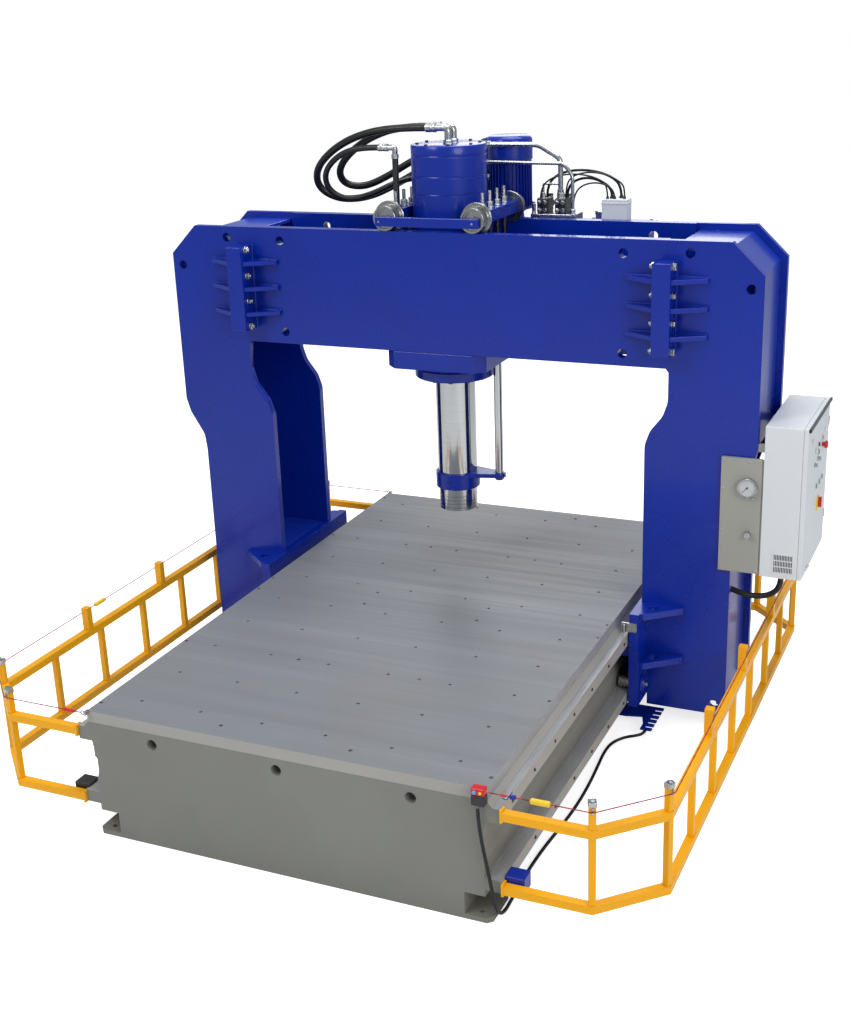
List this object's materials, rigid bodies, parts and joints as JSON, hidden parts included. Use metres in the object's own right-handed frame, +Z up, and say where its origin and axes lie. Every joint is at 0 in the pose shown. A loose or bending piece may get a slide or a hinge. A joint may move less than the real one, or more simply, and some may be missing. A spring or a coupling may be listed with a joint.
{
  "type": "travelling-portal hydraulic press",
  "caption": "Hydraulic press with a travelling blue welded portal over a long machined bed, cross-travelling cylinder, guard rails and control cabinet.",
  "frame": {"origin": "on the floor under the middle of the bed", "axes": "+X across the bed towards the control cabinet, +Y along the bed away from the rope switch, +Z up"},
  "size_m": [3.6608, 3.3645, 3.112],
  "materials": {
    "bed_paint": "satin",
    "machined_steel": "ground",
    "blue_paint": "gloss",
    "yellow_paint": "semi-gloss",
    "rope_red": "sheathed",
    "dark_plastic": "moulded",
    "light_blue_plastic": "moulded",
    "black_rubber": "smooth",
    "zinc": "zinc plated",
    "beige_paint": "satin",
    "cabinet_paint": "fine texture",
    "white_plastic": "moulded",
    "red_plastic": "moulded",
    "green_plastic": "moulded",
    "chrome": "polished"
  },
  "bodies": {
    "bed": {"bed_casting": "bed_paint", "table_plates": "machined_steel", "bed_fittings": "blue_paint", "cable_comb": "blue_paint", "guard_rail_left": "yellow_paint", "guard_rail_right": "yellow_paint", "rope_left": "rope_red", "rope_right": "rope_red", "rope_switch": "dark_plastic", "switch_cable": "black_rubber"},
    "reset_button": {"rope_switch_reset": "light_blue_plastic"},
    "portal": {"front_beam": "blue_paint", "back_beam": "blue_paint", "leg_front_left": "blue_paint", "leg_front_right": "blue_paint", "leg_back_left": "blue_paint", "leg_back_right": "blue_paint", "leg_webs": "blue_paint", "shoes": "blue_paint", "travel_sensor": "zinc", "splice_flanges": "blue_paint", "splice_bolts": "zinc", "hydraulic_panel": "beige_paint", "gauge_case": "zinc", "cabinet_shell": "cabinet_paint", "cabinet_cable": "black_rubber", "oil_tank": "blue_paint", "pump_bell": "blue_paint", "motor": "blue_paint", "valve_block": "zinc", "rigid_pipes": "zinc", "junction_box": "cabinet_paint", "control_cables": "black_rubber"},
    "front_wheel_pair": {"front_wheels": "machined_steel"},
    "back_wheel_pair": {"back_wheels": "machined_steel"},
    "carriage": {"carriage_frame": "blue_paint", "suspension_studs": "zinc", "cylinder_barrel": "blue_paint", "thrust_block": "blue_paint", "hose_fittings": "zinc", "cap_hoses": "black_rubber", "side_hose": "black_rubber"},
    "left_rollers": {"rollers_left": "machined_steel"},
    "right_rollers": {"rollers_right": "machined_steel"},
    "ram": {"ram_rod": "chrome", "ram_collar": "blue_paint", "guide_rod": "chrome"},
    "pointer": {"gauge_pointer": "dark_plastic"},
    "knob": {"pressure_knob": "zinc"},
    "door": {"cabinet_door": "cabinet_paint"},
    "lock": {"door_lock": "white_plastic"},
    "stop_button": {"emergency_stop": "red_plastic"},
    "mains_handle": {"main_switch": "red_plastic"},
    "back_key": {"key_switch_back": "zinc"},
    "front_key": {"key_switch_front": "zinc"},
    "white_button": {"button_white": "white_plastic"},
    "upper_green_button": {"button_green_upper": "green_plastic"},
    "back_green_button": {"button_green_back": "green_plastic"},
    "middle_green_button": {"button_green_middle": "green_plastic"},
    "front_green_button": {"button_green_front": "green_plastic"}
  },
  "joints": [
    {"name": "portal_travel", "type": "slide", "parent": "bed", "child": "portal", "axis": [0, 1, 0], "range_m": [-1.69, 0.35]},
    {"name": "front_wheels_roll", "type": "hinge", "parent": "portal", "child": "front_wheel_pair", "pos_m": [0, 0.27, 0.26], "axis": [1, 0, 0], "continuous": true},
    {"name": "back_wheels_roll", "type": "hinge", "parent": "portal", "child": "back_wheel_pair", "pos_m": [0, 1.09, 0.26], "axis": [1, 0, 0], "continuous": true},
    {"name": "cylinder_travel", "type": "slide", "parent": "portal", "child": "carriage", "axis": [1, 0, 0], "range_m": [-0.715, 0.875], "deforming": ["cap_hoses", "side_hose"]},
    {"name": "left_rollers_roll", "type": "hinge", "parent": "carriage", "child": "left_rollers", "pos_m": [-0.326, 0.68, 2.65], "axis": [0, 1, 0], "continuous": true},
    {"name": "right_rollers_roll", "type": "hinge", "parent": "carriage", "child": "right_rollers", "pos_m": [0.166, 0.68, 2.65], "axis": [0, 1, 0], "continuous": true},
    {"name": "ram_stroke", "type": "slide", "parent": "carriage", "child": "ram", "axis": [0, 0, 1], "range_m": [-0.27, 0.46]},
    {"name": "cabinet_door_swing", "type": "hinge", "parent": "portal", "child": "door", "pos_m": [1.9033, 0.976, 1.312], "axis": [0, 0, 1], "range_deg": [0, 120]},
    {"name": "door_lock_turn", "type": "hinge", "parent": "door", "child": "lock", "pos_m": [1.9091, 0.46, 0.941], "axis": [1, 0, 0], "range_deg": [0, 90]},
    {"name": "emergency_stop_push", "type": "slide", "parent": "door", "child": "stop_button", "axis": [1, 0, 0], "range_m": [-0.004, 0], "stiffness_N_per_m": 400},
    {"name": "main_switch_turn", "type": "hinge", "parent": "door", "child": "mains_handle", "pos_m": [1.9173, 0.727, 1.21], "axis": [1, 0, 0], "range_deg": [0, 90]},
    {"name": "back_key_turn", "type": "hinge", "parent": "door", "child": "back_key", "pos_m": [1.9113, 0.66, 1.468], "axis": [1, 0, 0], "range_deg": [-45, 45]},
    {"name": "front_key_turn", "type": "hinge", "parent": "door", "child": "front_key", "pos_m": [1.9113, 0.568, 1.459], "axis": [1, 0, 0], "range_deg": [-45, 45]},
    {"name": "white_button_push", "type": "slide", "parent": "door", "child": "white_button", "axis": [1, 0, 0], "range_m": [-0.004, 0], "stiffness_N_per_m": 400},
    {"name": "upper_green_push", "type": "slide", "parent": "door", "child": "upper_green_button", "axis": [1, 0, 0], "range_m": [-0.004, 0], "stiffness_N_per_m": 400},
    {"name": "back_green_push", "type": "slide", "parent": "door", "child": "back_green_button", "axis": [1, 0, 0], "range_m": [-0.004, 0], "stiffness_N_per_m": 400},
    {"name": "middle_green_push", "type": "slide", "parent": "door", "child": "middle_green_button", "axis": [1, 0, 0], "range_m": [-0.004, 0], "stiffness_N_per_m": 400},
    {"name": "front_green_push", "type": "slide", "parent": "door", "child": "front_green_button", "axis": [1, 0, 0], "range_m": [-0.004, 0], "stiffness_N_per_m": 400},
    {"name": "pressure_knob_turn", "type": "hinge", "parent": "portal", "child": "knob", "pos_m": [1.631, 0.334, 1.139], "axis": [0, 1, 0], "range_deg": [-360, 360]},
    {"name": "gauge_pointer_turn", "type": "hinge", "parent": "portal", "child": "pointer", "pos_m": [1.621, 0.325, 1.386], "axis": [0, 1, 0], "range_deg": [0, 270]},
    {"name": "reset_push", "type": "slide", "parent": "bed", "child": "reset_button", "axis": [0, 1, 0], "range_m": [0, 0.004], "stiffness_N_per_m": 400}
  ],
  "couplings": [
    {"joint": "front_wheels_roll", "follows": "portal_travel", "rad_per_m": -28.571},
    {"joint": "back_wheels_roll", "follows": "portal_travel", "rad_per_m": -28.571},
    {"joint": "left_rollers_roll", "follows": "cylinder_travel", "rad_per_m": 15.385},
    {"joint": "right_rollers_roll", "follows": "cylinder_travel", "rad_per_m": 15.385}
  ]
}
